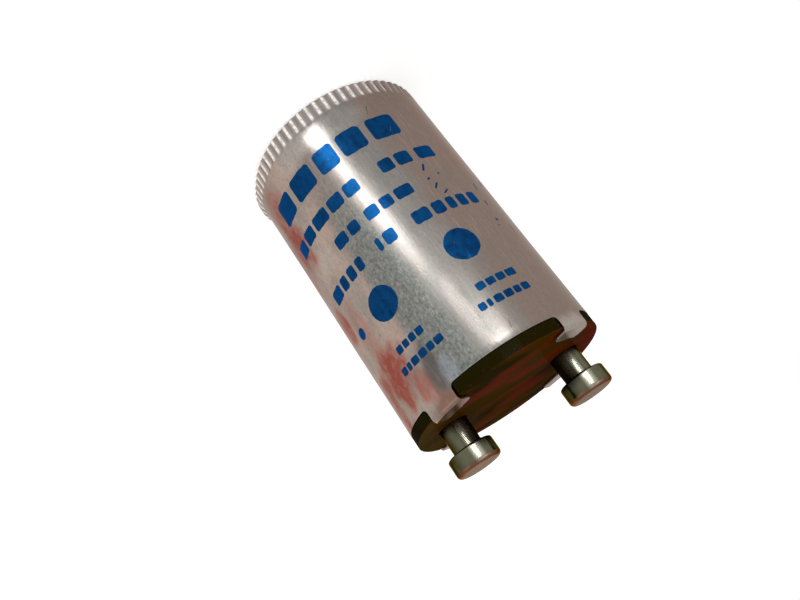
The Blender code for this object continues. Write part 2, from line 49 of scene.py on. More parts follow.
class Socket:
    """One socket of a finish. Sums written with it add Math nodes, and node() adds any other node."""

    def __init__(self, tree, end=None):
        self.tree = tree
        self.end = end

    def node(self, kind, settings=None, inputs=None, output=0):
        """Adds a node: first its settings, then the values or links of its sockets."""
        made = self.tree.nodes.new("ShaderNode" + kind)
        for name, value in (settings or {}).items():
            setattr(made, name, value)
        for name, value in (inputs or {}).items():
            if isinstance(value, Socket):
                self.tree.links.new(value.end, made.inputs[name])
            else:
                made.inputs[name].default_value = value
        return Socket(self.tree, made.outputs[output])

    def beside(self, output):
        """Another output of the same node."""
        return Socket(self.tree, self.end.node.outputs[output])

    def maths(self, operation, *others):
        """A Math node over this socket, and over the other values that its operation takes."""
        return self.node("Math", {"operation": operation}, dict(enumerate((self, *others))))

    def reflected(self, operation, other):
        """A Math node that takes the other value first, as 1 - mask does."""
        return self.node("Math", {"operation": operation}, {0: other, 1: self})

    def __add__(self, other):
        return self.maths("ADD", other)

    __radd__ = __add__

    def __sub__(self, other):
        return self.maths("SUBTRACT", other)

    def __rsub__(self, other):
        return self.reflected("SUBTRACT", other)

    def __mul__(self, other):
        return self.maths("MULTIPLY", other)

    __rmul__ = __mul__

    def __truediv__(self, other):
        return self.maths("DIVIDE", other)

    def __rtruediv__(self, other):
        return self.reflected("DIVIDE", other)

    def __pow__(self, other):
        return self.maths("POWER", other)

    def __abs__(self):
        return self.maths("ABSOLUTE")


def seen_white(tree):
    """1 for what is seen straight, in a mirror or through glass, and 0 for light that falls on things."""
    path = Socket(tree).node("LightPath", output="Is Camera Ray")
    mirrored = path.beside("Is Glossy Ray")
    through = path.beside("Is Transmission Ray")
    return path.maths("MAXIMUM", mirrored.maths("MAXIMUM", through))


ROOM_LIGHT = 0.5
FLOOR_REACH = 3.0
FLOOR_COLOUR = (0.86, 0.86, 0.86, 1)
FLOOR_GLOW = 1 - ROOM_LIGHT * FLOOR_COLOUR[0]
FLOOR_DROP = 0.01 * MM
ROOM_WHITE = (1, 1, 1, 1)

room = bpy.data.worlds.new("white_room")
bpy.context.scene.world = room
room.use_nodes = True
seen = seen_white(room.node_tree)
room_strength = ROOM_LIGHT + (1 - ROOM_LIGHT) * seen
room.node_tree.links.new(room_strength.end, room.node_tree.nodes["Background"].inputs["Strength"])
room.node_tree.nodes["Background"].inputs["Color"].default_value = ROOM_WHITE

floor_mesh = bpy.data.meshes.new("studio_floor")
floor_mesh.from_pydata(
    [(x * FLOOR_REACH, y * FLOOR_REACH, -FLOOR_DROP) for x, y in ((-1, -1), (1, -1), (1, 1), (-1, 1))],
    [],
    [(0, 1, 2, 3)],
)
floor = bpy.data.objects.new("studio_floor", floor_mesh)
bpy.context.scene.collection.objects.link(floor)
floor_paint = bpy.data.materials.new("studio_floor_white")
floor_paint.use_nodes = True
seen = seen_white(floor_paint.node_tree)
lit = seen.node("BsdfDiffuse", inputs={"Color": FLOOR_COLOUR})
glow = seen.node("Emission", inputs={"Color": ROOM_WHITE, "Strength": seen * FLOOR_GLOW})
floor_look = seen.node("AddShader", inputs={0: lit, 1: glow})
floor_paint.node_tree.links.new(
    floor_look.end, floor_paint.node_tree.nodes["Material Output"].inputs["Surface"]
)
floor_mesh.materials.append(floor_paint)


# Each lamp: its place in mm, its turn in degrees, its width and length in mm, and its brightness
# against the white room's. The near, middle and far strips make one streak down the can.
LAMPS = [
    ("near_strip_lamp", (6.4, -19.8, 1), (180, 0, 14), 3.0, 15.5, 9.5),
    ("middle_strip_lamp", (9.8, -41, 1), (180, 0, 2), 4.5, 26, 17.0),
    ("far_strip_lamp", (5.5, -78, 1), (180, 0, -5), 8, 46, 4.0),
    ("pin_strip_lamp", (-36, -178, 1), (180, 0, -10), 50, 130, 12.0),
    ("back_strip_lamp", (-28, 105, 1), (180, 0, -165), 12, 160, 2.0),
    ("left_lamp", (-330, -260, 300), (55, 0, -52), 300, 300, 1.2),
    ("right_lamp", (380, -120, 220), (62, 0, 72), 300, 300, 0.7),
    ("back_lamp", (60, 420, 260), (60, 0, 172), 300, 240, 1.2),
]
for name, place, turn, width, length, brightness in LAMPS:
    data = bpy.data.lights.new(name, "AREA")
    data.shape = "RECTANGLE"
    data.size = width * MM
    data.size_y = length * MM
    data.energy = brightness * math.pi * data.size * data.size_y
    lamp = bpy.data.objects.new(name, data)
    lamp.location = Vector(place) * MM
    lamp.rotation_euler = Euler([math.radians(angle) for angle in turn])
    lamp.visible_camera = False
    bpy.context.scene.collection.objects.link(lamp)

# The camera: its lens, sensor, nearest distance and place in mm, and its turn in degrees.
CAMERA_LENS = 34.344
CAMERA_SENSOR = 36
CAMERA_NEAREST = 1
CAMERA_PLACE = (16.548, -70.112, 48.153)
CAMERA_TURN = (-63.598, -31.885, 175.69)

camera_data = bpy.data.cameras.new("photo_camera")
camera_data.lens = CAMERA_LENS
camera_data.sensor_width = CAMERA_SENSOR
camera_data.clip_start = CAMERA_NEAREST * MM
camera = bpy.data.objects.new("photo_camera", camera_data)
camera.location = Vector(CAMERA_PLACE) * MM
camera.rotation_euler = Euler([math.radians(angle) for angle in CAMERA_TURN])
bpy.context.scene.collection.objects.link(camera)
bpy.context.scene.camera = camera
bpy.context.scene.view_settings.view_transform = "Standard"


# The can: aluminium sheet, drawn to a cup, with ribs rolled round its closed end. Its rim is cut
# into four tabs, which are folded over the base disc to hold it. A knock has bulged one side of
# the closed end, a dent marks the wall under one tab, and the wall is scuffed. Its colour also
# holds painted light: reddish painted reflections, painted highlights and painted shade.

CAN_RADIUS = 10.2 * MM
CAN_DEPTH = 31.45 * MM
CAN_SHEET = 0.25 * MM
CAN_EDGE_RADIUS = 0.5 * MM
CAN_CUT_EDGE = 0.04 * MM
CAN_CUT_STEPS = 2
CAN_CUT_ANGLE = math.radians(60)

# How finely the can's skin is drawn: its columns, and its rows from the closed end up.
COLUMN_STEP = math.radians(0.68)
END_MIDDLE = 1 * MM
END_ROW_STEP = 2 * MM
END_BLEND = 0.4 * MM
EDGE_STEPS = 7
RIB_ROW_STEP = 0.15 * MM
RIB_ROWS_PAST = 0.3 * MM
ROW_STEP = 0.8 * MM
JOIN_REACH = 0.0005 * MM

RIB_COUNT = 66
RIB_HEIGHT = 2.3 * MM
RIB_DEPTH = 0.16 * MM
RIB_RUN_OUT = 0.5 * MM

KNOCK_DEPTH = 0.4 * MM
KNOCK_HEIGHT = 1.2 * MM
KNOCK_TURN = math.radians(14)
KNOCK_SPREAD = math.radians(34)

TAB_TURN = math.radians(2.9)
TAB_SPREAD = math.radians(42.85)
TAB_HALF = 3.63 * MM / 2
TAB_REACH = 2.0 * MM
TAB_CORNER = 0.6 * MM
TAB_FOLD_RADIUS = 0.45 * MM
TAB_OUTER_Z = 33.05 * MM
WINDOW_CORNER = 0.5 * MM
TAB_COLUMNS = 40
TAB_ROWS = 12
FOOT_STEPS = 6
FOLD_STEPS = 8

# Each dent: its middle round the can in degrees and up it in mm, its reach to each side and up
# and down in mm, and its depth in mm.
DENTS = [
    (-57.0, 30.0, 1.9, 2.4, 0.09),
    (-24.0, 20.5, 3.2, 4.0, 0.05),
    (-38.0, 26.5, 3.0, 3.4, 0.05),
    (-118.0, 9.0, 4.0, 6.0, 0.03),
    (-75.0, 3.6, 2.6, 1.6, 0.02),
    (35.0, 17.0, 5.0, 6.0, 0.04),
    (110.0, 24.0, 5.0, 5.0, 0.04),
    (170.0, 10.0, 6.0, 5.0, 0.04),
]
# Each wave: half its depth in mm, its count round the can, and its slant in radians a metre.
WAVES = [(0.008, 3, 180), (0.006, 5, -420)]
WAVES_RISE = 4 * MM
RIM_STIFFENED = 1.2 * MM


def rib_depth_at(angle, height):
    """How deep the groove between two ribs is there."""
    fade = min(1.0, max(0.0, (RIB_HEIGHT - height) / RIB_RUN_OUT))
    return RIB_DEPTH * fade * (1 - math.cos(RIB_COUNT * angle)) / 2


def knock_at(angle, height):
    """How far the knock has bulged the wall there."""
    aside = min(1.0, abs(math.remainder(angle - KNOCK_TURN, math.tau)) / KNOCK_SPREAD)
    above = min(1.0, max(0.0, (height - KNOCK_HEIGHT) / (RIB_HEIGHT - KNOCK_HEIGHT)))
    return KNOCK_DEPTH * (1 + math.cos(math.pi * aside)) * (1 + math.cos(math.pi * above)) / 4


def dent_at(angle, height):
    """How far the dents, and the slight waves that drawing left, sink the wall."""
    sunk = sum(half * MM * (1 + math.sin(count * angle + slant * height)) for half, count, slant in WAVES)
    sunk *= min(1.0, max(0.0, (height - RIB_HEIGHT) / WAVES_RISE))
    for middle, up, aside, above, depth in DENTS:
        across = math.remainder(angle - math.radians(middle), math.tau) * CAN_RADIUS / (aside * MM)
        along = (height - up * MM) / (above * MM)
        away = math.hypot(across, along)
        if away < 1:
            sunk += depth * MM * (1 + math.cos(math.pi * away)) / 2
    return sunk * min(1.0, max(0.0, (CAN_DEPTH - height) / RIM_STIFFENED))


def wall_point(angle, height, radius=CAN_RADIUS):
    """A point of the can's outside, which is a little out of round."""
    reach = radius - rib_depth_at(angle, height) + knock_at(angle, height) - dent_at(angle, height)
    return Vector((reach * math.cos(angle), reach * math.sin(angle), height))


def arc(centre, radius, start, end, steps):
    """Points along an arc, both ends with it. Angles are in degrees."""
    turns = [math.radians(start + (end - start) * i / steps) for i in range(steps + 1)]
    return [(centre[0] + radius * math.cos(a), centre[1] + radius * math.sin(a)) for a in turns]


def steps_between(start, end, step):
    """Evenly spaced values after start, up to end."""
    count = math.ceil((end - start) / step)
    return [start + (end - start) * (i + 1) / count for i in range(count)]


def skin(shape, ring, following, closed):
    """Faces between two rows of points. They look outward where the first row runs anticlockwise."""
    count = len(ring) if closed else len(ring) - 1
    for i in range(count):
        j = (i + 1) % len(ring)
        shape.faces.new((ring[i], ring[j], following[j], following[i]))


def piece_from(name, shape, finish, smooth_angle=35):
    """Puts a finished shape in the scene as a piece that rides with the starter."""
    bmesh.ops.remove_doubles(shape, verts=shape.verts, dist=JOIN_REACH)
    mesh = bpy.data.meshes.new(name)
    shape.to_mesh(mesh)
    shape.free()
    mesh.shade_smooth()
    mesh.set_sharp_from_angle(angle=math.radians(smooth_angle))
    mesh.materials.append(finish)
    piece = bpy.data.objects.new(name, mesh)
    bpy.context.scene.collection.objects.link(piece)
    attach(piece, "root")
    return piece


def tab_angles():
    """Where the middles of the four tabs stand round the can."""
    sides = (TAB_TURN - math.pi / 2, TAB_TURN + math.pi / 2)
    return [side + spread for side in sides for spread in (-TAB_SPREAD, TAB_SPREAD)]


def tab_shares():
    """Where a tab's columns stand across it, from -1 to 1."""
    return [2 * i / TAB_COLUMNS - 1 for i in range(TAB_COLUMNS + 1)]


def can_columns():
    """The angles of the wall's columns, and the column where each tab's foot starts."""
    foot = TAB_HALF + WINDOW_CORNER
    angles = tab_angles()
    columns, starts = [], []
    for here, following in zip(angles, angles[1:] + [angles[0] + math.tau]):
        starts.append(len(columns))
        columns += [here + math.asin(share * foot / CAN_RADIUS) for share in tab_shares()]
        end = following - math.asin(foot / CAN_RADIUS)
        columns += steps_between(columns[-1], end, COLUMN_STEP)[:-1]
    return columns, starts


def tab_row(reach, half, height):
    """One row of points across a tab, all at that reach from the can's axis."""
    asides = [share * half for share in tab_shares()]
    return [(math.sqrt(reach ** 2 - aside ** 2), aside, height) for aside in asides]


def tab_rows(angle):
    """A tab's rows above the wall: its flared foot, its fold over the disc, and its rounded end."""
    turn = Matrix.Rotation(angle, 4, "Z")
    fold_radius = CAN_RADIUS - TAB_FOLD_RADIUS
    foot_middle = (TAB_HALF + WINDOW_CORNER, CAN_DEPTH + WINDOW_CORNER)
    foot = arc(foot_middle, WINDOW_CORNER, -90, -180, FOOT_STEPS)[1:]
    folded = arc((fold_radius, TAB_OUTER_Z - TAB_FOLD_RADIUS), TAB_FOLD_RADIUS, 0, 90, FOLD_STEPS)
    rows = [tab_row(CAN_RADIUS, half, height) for half, height in foot]
    rows += [tab_row(reach, TAB_HALF, height) for reach, height in folded]
    for i in range(1, TAB_ROWS + 1):
        row = []
        for share in tab_shares():
            aside = share * TAB_HALF
            over = min(TAB_CORNER, max(0.0, abs(aside) - (TAB_HALF - TAB_CORNER)))
            end = CAN_RADIUS - TAB_REACH + TAB_CORNER - math.sqrt(TAB_CORNER ** 2 - over ** 2)
            start = math.sqrt(fold_radius ** 2 - aside ** 2)
            row.append((start + (end - start) * i / TAB_ROWS, aside, TAB_OUTER_Z))
        rows.append(row)
    return [[turn @ Vector(point) for point in row] for row in rows]


def can_profile():
    """Radius and height of the can's outside, from the closed end's middle to the windows' edges."""
    edge = CAN_RADIUS - CAN_EDGE_RADIUS
    rib_top = RIB_HEIGHT + RIB_ROWS_PAST
    profile = [(radius, 0.0) for radius in steps_between(END_MIDDLE, edge - END_BLEND, END_ROW_STEP)]
    profile += arc((edge, CAN_EDGE_RADIUS), CAN_EDGE_RADIUS, -90, 0, EDGE_STEPS)
    profile += [(CAN_RADIUS, height) for height in steps_between(CAN_EDGE_RADIUS, rib_top, RIB_ROW_STEP)]
    return profile + [(CAN_RADIUS, height) for height in steps_between(rib_top, CAN_DEPTH, ROW_STEP)]


def can_shape():
    """The can's outside as one skin: closed end, ribbed edge, wall and tabs. The sheet is added to it."""
    shape = bmesh.new()
    columns, starts = can_columns()
    flat_end = CAN_RADIUS - CAN_EDGE_RADIUS - END_BLEND
    rings = []
    for radius, height in can_profile():
        share = min(1.0, max(0.0, (radius - flat_end) / END_BLEND))
        ring = []
        for angle in columns:
            full = wall_point(angle, height, radius)
            plain = Vector((radius * math.cos(angle), radius * math.sin(angle), height))
            ring.append(shape.verts.new(plain.lerp(full, share)))
        rings.append(ring)
    middle = shape.verts.new((0, 0, 0))
    for i, point in enumerate(rings[0]):
        shape.faces.new((middle, rings[0][(i + 1) % len(columns)], point))
    for ring, following in zip(rings, rings[1:]):
        skin(shape, ring, following, closed=True)
    for angle, start in zip(tab_angles(), starts):
        ring = rings[-1][start : start + TAB_COLUMNS + 1]
        for row in tab_rows(angle):
            following = [shape.verts.new(point) for point in row]
            skin(shape, ring, following, closed=False)
            ring = following
    return shape


def new_finish(name):
    """A bare finish, and the place on the surface that its nodes read, in mm."""
    finish = bpy.data.materials.new(name)
    finish.use_nodes = True
    metres = Socket(finish.node_tree).node("TexCoord", output="Object")
    place = metres.node("VectorMath", {"operation": "SCALE"}, {0: metres, "Scale": 1 / MM})
    return finish, place


def set_finish(finish, looks):
    """Sets or links the sockets of a finish's shader."""
    shader = finish.node_tree.nodes["Principled BSDF"]
    for name, value in looks.items():
        if isinstance(value, Socket):
            finish.node_tree.links.new(value.end, shader.inputs[name])
        else:
            shader.inputs[name].default_value = value


def grain(place, cycles, detail=3.0, roughness=0.55, offset=(0, 0, 0)):
    """Cloudy grain with that many cycles in a mm along X, Y and Z, about 0.5 in the middle."""
    stretched = place.node("VectorMath", {"operation": "MULTIPLY_ADD"}, {0: place, 1: cycles, 2: offset})
    looks = {"Vector": stretched, "Scale": 1.0, "Detail": detail, "Roughness": roughness}
    return place.node("TexNoise", inputs=looks)


def between(value, low, high, bottom=0.0, top=1.0):
    """Rises smoothly from bottom to top as the value goes from low to high."""
    return value.node(
        "MapRange",
        {"interpolation_type": "SMOOTHSTEP"},
        {"Value": value, "From Min": low, "From Max": high, "To Min": bottom, "To Max": top},
    )


def mixed(share, first, second):
    """The first colour where the share is 0, and the second where it is 1."""
    return share.node("Mix", {"data_type": "RGBA"}, {0: share, 6: first, 7: second}, output=2)


def bump(height, depth):
    """The surface's normal over a height from 0 to 1 that stands for that many mm."""
    return height.node("Bump", inputs={"Height": height, "Strength": 1.0, "Distance": depth * MM})


# Shares of its reach where an oval patch ends and where it is full.
PATCH_END = 1.1
PATCH_FULL = 0.4


def patch(around, up, middle, reach, edge):
    """1 inside an oval on the wall and 0 outside it, with a soft edge that the last value roughens."""
    across = (around - middle[0]) / reach[0]
    along = (up - middle[1]) / reach[1]
    away = (across * across + along * along) ** 0.5 + edge
    return between(away, PATCH_END, PATCH_FULL)


BARE_METAL = (0.204, 0.149, 0.123, 1)
# Greyer, paler tone down the front where the lamps' streak falls, partly painted highlight.
FRONT_SHEEN_METAL = (0.225, 0.210, 0.195, 1)
# Painted highlight: bright places on the wall and tabs, and the streaks at the back.
PAINTED_HIGHLIGHT_METAL = (0.50, 0.475, 0.44, 1)
# Pale painted reflection, down one side and in the cool band's speckles.
PALE_METAL = (0.385, 0.290, 0.243, 1)
# Cool grey: the band of painted reflection, and the mottling over the wall.
COOL_METAL = (0.150, 0.170, 0.158, 1)
# Painted reflection of red surroundings, laid on the wall in patches.
RED_REFLECTION = (0.255, 0.046, 0.029, 1)
# The dent's painted shade, and its painted gleam beside it.
DENT_PAINTED_SHADE = (0.090, 0.080, 0.076, 1)
DENT_PAINTED_GLEAM = (0.36, 0.40, 0.47, 1)
# Painted shade on the tab at the pale side.
TAB_PAINTED_SHADE = (0.19, 0.105, 0.075, 1)
# Paler grey painted over the ribs, partly standing in for their highlights.
RIB_GREY = (0.40, 0.36, 0.34, 1)
# Darker tone in the ribs' grooves.
RIB_GROOVE_DARK = (0.14, 0.100, 0.078, 1)
# Painted highlights along the ribs' crests.
RIB_CREST_HIGHLIGHT = (0.95, 0.92, 0.88, 1)
SCUFF_BRIGHT = (0.72, 0.68, 0.63, 1)
SPECK_DARK = (0.09, 0.08, 0.075, 1)
METAL_TINT = (0.72, 0.66, 0.62, 1)

# Places round the can are in degrees from its front, towards +X, and heights are in mm. The paler
# side, a painted reflection, fades in and out between its two pairs. The cool band, a painted
# reflection, leans as it rises, and widens.
PALE_REFLECTION_SIDE = ((22, 50), (150, 95))
FRONT_SHEEN_MIDDLE = 8
FRONT_SHEEN_REACH = 30
BACK_SHEEN_SIDES = (75, 120)
BAND_MIDDLE = 36
BAND_LEAN = 0.35
BAND_REACH = (8.0, 14.0)
RIB_LOOK_FADE = (-46, -6)
SCUFF_DEPTH = 0.006

# Each mark: its middle round and up the wall, its reach each way, its strength, and its colour.
WALL_MARKS = [
    ((72, 9.6), (16, 4.4), 1.0, RED_REFLECTION),
    ((78, 19.3), (8, 2.8), 0.9, RED_REFLECTION),
    ((62, 27.6), (17, 3.4), 0.95, RED_REFLECTION),
    ((80, 29), (10, 3.8), 0.95, RED_REFLECTION),
    ((72, 4.4), (15, 2.6), 0.55, RED_REFLECTION),
    ((88, 11.5), (11, 5.0), 0.85, RED_REFLECTION),
    ((90, 20), (9, 6.5), 0.6, RED_REFLECTION),
    ((64, 21.5), (9, 5.5), 0.35, RED_REFLECTION),
    ((47, 29.8), (8, 2.6), 0.6, RED_REFLECTION),
    ((-63, 12), (3, 9), 0.2, RED_REFLECTION),
    ((-48, 9), (7, 7), 0.12, RED_REFLECTION),
    ((35, 3.2), (14, 2.0), 0.40, PAINTED_HIGHLIGHT_METAL),
    ((10, 3.7), (24, 2.0), 0.25, PAINTED_HIGHLIGHT_METAL),
    ((8, 27), (5, 4.5), 0.25, PAINTED_HIGHLIGHT_METAL),
    ((1, 30.9), (6, 1.0), 0.15, PAINTED_HIGHLIGHT_METAL),
    ((62, 14.2), (18, 1.8), 0.18, PAINTED_HIGHLIGHT_METAL),
    ((38, 29.6), (6.5, 3.2), 0.9, DENT_PAINTED_SHADE),
    ((31, 30.5), (6, 1.8), 0.3, DENT_PAINTED_GLEAM),
    ((2, 3.6), (8, 1.2), 0.22, SPECK_DARK),
    ((42, 32.8), (16, 1.3), 0.9, TAB_PAINTED_SHADE),
    ((-40, 32.8), (18, 1.6), 0.4, PAINTED_HIGHLIGHT_METAL),
]

aluminium, place = new_finish("can_aluminium")
x = place.node("SeparateXYZ", inputs={0: place})
y, z = x.beside("Y"), x.beside("Z")
around = x.maths("ARCTAN2", 0 - y) * math.degrees(1)
clouds = grain(place, (0.16, 0.16, 0.10))
blotches = grain(place, (0.55, 0.55, 0.30), detail=4, offset=(7, 3, 1))
speckle = grain(place, (4.2, 4.2, 2.6), detail=4, roughness=0.75)
scuffs = grain(place, (6.5, 6.5, 0.45), detail=5, roughness=0.7)
hairlines = grain(place, (14.0, 14.0, 0.55), detail=3, offset=(2, 5, 9))
streaks = grain(place, (0.13, 0.13, 0.012), detail=2, offset=(3, 8, 0))
smears = grain(place, (1.1, 1.1, 0.75), detail=5, roughness=0.65, offset=(4, 0, 6))
ragged = (blotches - 0.5) * 1.9 + (speckle - 0.5) * 0.5

# The sheet's tones: a pale painted reflection down one side, a paler, greyer front where the
# lamps' streak falls, partly painted highlight, and painted reflection streaks at the back.
pale_reflection = between(around, *PALE_REFLECTION_SIDE[0]) * between(around, *PALE_REFLECTION_SIDE[1])
colour = mixed(pale_reflection * between(clouds, 0.10, 0.50), BARE_METAL, PALE_METAL)
wear_and_sheen = between(abs(around - FRONT_SHEEN_MIDDLE + ragged * 6), FRONT_SHEEN_REACH, 6)
colour = mixed(wear_and_sheen * 0.9, colour, FRONT_SHEEN_METAL)
# Painted reflection streaks down the back sides.
back_sheen = between(streaks, 0.38, 0.62) * between(abs(around), *BACK_SHEEN_SIDES)
colour = mixed(back_sheen * 0.75, colour, PAINTED_HIGHLIGHT_METAL)
mottle = between(blotches + (speckle - 0.5) * 0.35, 0.40, 0.66)
colour = mixed(mottle * (0.15 + 0.28 * pale_reflection + 0.2 * wear_and_sheen), colour, COOL_METAL)

# The cool band up the wall, a painted reflection, speckled dark and pale.
band_reach = between(z, 8, 20, *BAND_REACH)
from_band = abs(around - BAND_MIDDLE + BAND_LEAN * z) + ragged * 5
painted_reflection_band = between(from_band / band_reach, 1.0, 0.5) * between(z, 5, 17, 0.12, 1.0)
colour = mixed(painted_reflection_band * 0.85, colour, COOL_METAL)
colour = mixed(painted_reflection_band * between(speckle, 0.50, 0.62) * 0.60, colour, SPECK_DARK)
colour = mixed(painted_reflection_band * between(speckle, 0.47, 0.36) * 0.45, colour, PALE_METAL)

# The wall's marks: reddish painted reflections, painted highlights, and the dent's and a tab's
# painted shade; then specks, scuffs and hairlines over all of it.
for middle, reach, strength, tone in WALL_MARKS:
    if tone == RED_REFLECTION:
        share = patch(around, z, middle, reach, ragged) * between(smears, 0.36, 0.54, 0.66, 1.0)
    else:
        share = patch(around, z, middle, reach, ragged * 0.4)
    colour = mixed(share * strength, colour, tone)
colour = mixed(between(speckle, 0.40, 0.62) * 0.14, colour, SPECK_DARK)
colour = mixed(between(speckle, 0.60, 0.74) * 0.45, colour, SPECK_DARK)
colour = mixed(between(scuffs, 0.50, 0.80) * between(clouds, 0.35, 0.60, 0.07, 0.20), colour, SCUFF_BRIGHT)
colour = mixed(between(hairlines, 0.66, 0.82) * 0.11, colour, SCUFF_BRIGHT)

# The ribs: painted a paler grey that partly stands in for their highlights, darker in their
# grooves, and with painted highlights along their crests, all weaker towards -X.
on_ribs = between(z, RIB_HEIGHT / MM, (RIB_HEIGHT - RIB_RUN_OUT) / MM) * between(z, -0.2, 0.15)
on_ribs = on_ribs * (0.18 + 0.82 * between(around, *RIB_LOOK_FADE))
rib_turn = around * math.radians(RIB_COUNT) - RIB_COUNT * math.pi / 2
groove = 0.5 - 0.5 * rib_turn.maths("COSINE")
groove_dark = between(groove, 0.60, 0.95) * between(blotches, 0.35, 0.6, 0.1, 0.45)
crest_highlight = between(groove, 0.42, 0.06) * between(speckle, 0.38, 0.58, 0.35, 1.0)
colour = mixed(on_ribs * 0.6, colour, RIB_GREY)
colour = mixed(on_ribs * groove_dark, colour, RIB_GROOVE_DARK)
colour = mixed(on_ribs * crest_highlight, colour, RIB_CREST_HIGHLIGHT)
set_finish(
    aluminium,
    {
        "Base Color": colour,
        "Metallic": 1.0,
        "Specular Tint": METAL_TINT,
        "Roughness": 0.17 + 0.10 * clouds + 0.14 * scuffs + 0.08 * painted_reflection_band,
        "Normal": bump(scuffs * 0.5 + hairlines * 0.35 + speckle * 0.6, SCUFF_DEPTH),
    },
)

can = piece_from("can_drawn", can_shape(), aluminium)
sheet = can.modifiers.new("sheet", "SOLIDIFY")
sheet.thickness = CAN_SHEET
sheet.offset = -1
sheet.use_even_offset = True
cut_edges = can.modifiers.new("cut_edges", "BEVEL")
cut_edges.width = CAN_CUT_EDGE
cut_edges.segments = CAN_CUT_STEPS
cut_edges.limit_method = "ANGLE"
cut_edges.angle_limit = CAN_CUT_ANGLE
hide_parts("can")


# The printing: thin blue ink, rolled on to the can's finished wall. It is plain bars in rows and
# a few plain dots, so it is fields of colour only. Specks of stray ink and dark hairline scratches
# lie round it.

INK_LIFT = 0.006 * MM
INK_STEP = 0.25 * MM
INK_RAGGED = 0.035
CORNER_STEPS = 5
# A printed field is four lines of points across, at these shares of its half height.
FIELD_LINES = (-1, -0.33, 0.33, 1)
# Each run of bars: its middle up the can and its height in mm, its corners' radius, and the
# angles in degrees where each bar starts and ends.
BAR_ROWS = [
    (6.55, 2.7, 0.45, [(-22, -38), (-42, -59), (-63, -76), (-79, -94), (-98, -115)]),
    (10.8, 1.5, 0.30, [(-17, -27), (-29, -39), (-41, -53), (-55, -65), (-67, -76)]),
    (10.8, 1.5, 0.30, [(-90, -98), (-100, -109), (-113, -125)]),
    (14.15, 1.3, 0.28, [(-46, -55), (-57, -64), (-69, -77), (-79, -86), (-88, -98)]),
    (17.25, 1.4, 0.28, [(-20, -31), (-33, -39), (-41, -47), (-49, -54), (-65, -68), (-70, -77)]),
    (17.25, 1.4, 0.28, [(-88, -98), (-100, -107), (-109, -114), (-116, -122), (-124, -130)]),
    (26.0, 0.75, 0.16, [(-40, -44.5), (-45.5, -49.5), (-50.5, -54.5), (-55.5, -60)]),
    (26.0, 0.75, 0.16, [(-93, -98), (-99, -104), (-105, -110), (-111, -117)]),
    (27.75, 0.75, 0.16, [(-35, -39), (-40, -43), (-44, -49), (-50, -55), (-56, -60), (-61, -66)]),
    (27.75, 0.75, 0.16, [(-88, -92), (-93, -95.5), (-97, -102), (-103, -108), (-109, -113), (-114, -119)]),
]
# Each dot: its middle round and up the can, and its radius in mm.
DOTS = [(-101.3, 21.6, 1.7), (-49.5, 21.7, 1.7), (-24, 21.8, 0.6)]
# Each stray mark and each scratch: its middle round and up the can, its length and width in mm,
# and its turn in degrees.
STRAY_INK = [
    (-111, 12.6, 0.9, 0.22, 60),
    (-109.3, 14.0, 0.35, 0.22, 20),
    (-110.5, 15.0, 0.8, 0.20, 50),
    (-113.5, 15.9, 0.7, 0.18, 30),
    (-117, 13.7, 0.25, 0.2, 0),
    (-135, 18, 0.6, 0.14, 80),
    (-137, 15.8, 0.9, 0.12, 75),
    (-148, 15, 0.7, 0.16, 70),
    (-132.6, 20.2, 0.35, 0.3, 0),
    (-131.0, 20.9, 0.2, 0.15, 0),
]
SCRATCHES = [
    (-104.5, 4.1, 1.1, 0.07, 65),
    (-109.6, 7.1, 0.7, 0.06, 55),
    (-141, 21.5, 1.6, 0.05, 85),
    (-96, 30.2, 0.9, 0.05, 70),
]


def lay_field(shape, turn_place, up, width, height, corner, turn=0.0, ragged=0.0, draw=None):
    """Lays a flat rounded field on the wall, in mm. Its edges waver a little, as printed ink does."""
    corner = min(corner, width / 2, height / 2)
    start = -width / 2 + corner
    side = height / 2 - corner
    quarter = [math.pi / 2 * i / CORNER_STEPS for i in range(CORNER_STEPS + 1)]
    left = [(start - corner * math.cos(a), side + corner * math.sin(a)) for a in quarter]
    straight = steps_between(left[-1][0], -left[-1][0], INK_STEP / MM)[:-1] if width > 2 * corner else []
    right = [(-x_place, half) for x_place, half in reversed(left)]
    spin = Matrix.Rotation(math.radians(turn), 2)
    rows = []
    for x_place, half in left + [(x_place, height / 2) for x_place in straight] + right:
        waver = [draw.uniform(-ragged, ragged) if draw and half > ragged * 2 else 0.0 for _ in range(2)]
        column = []
        for share, shift in zip(FIELD_LINES, (waver[0], 0, 0, waver[1])):
            local = spin @ Vector((x_place, share * half + shift))
            angle = math.radians(turn_place) + local.x * MM / CAN_RADIUS
            level = up * MM + local.y * MM
            column.append(shape.verts.new(wall_point(angle, level, CAN_RADIUS + INK_LIFT)))
        rows.append(column)
    for column, following in zip(rows, rows[1:]):
        for i in range(len(column) - 1):
            shape.faces.new((column[i], following[i], following[i + 1], column[i + 1]))


INK_BLUE = (0.003, 0.043, 0.132, 1)
INK_DEEP = (0.0015, 0.022, 0.080, 1)
INK_SHEEN = (0.25, 0.60, 1.0, 1)
INK_GRAIN = 0.003
SCRATCH_DARK = (0.03, 0.03, 0.04, 1)
SCRATCH_GREY = (0.12, 0.11, 0.10, 1)

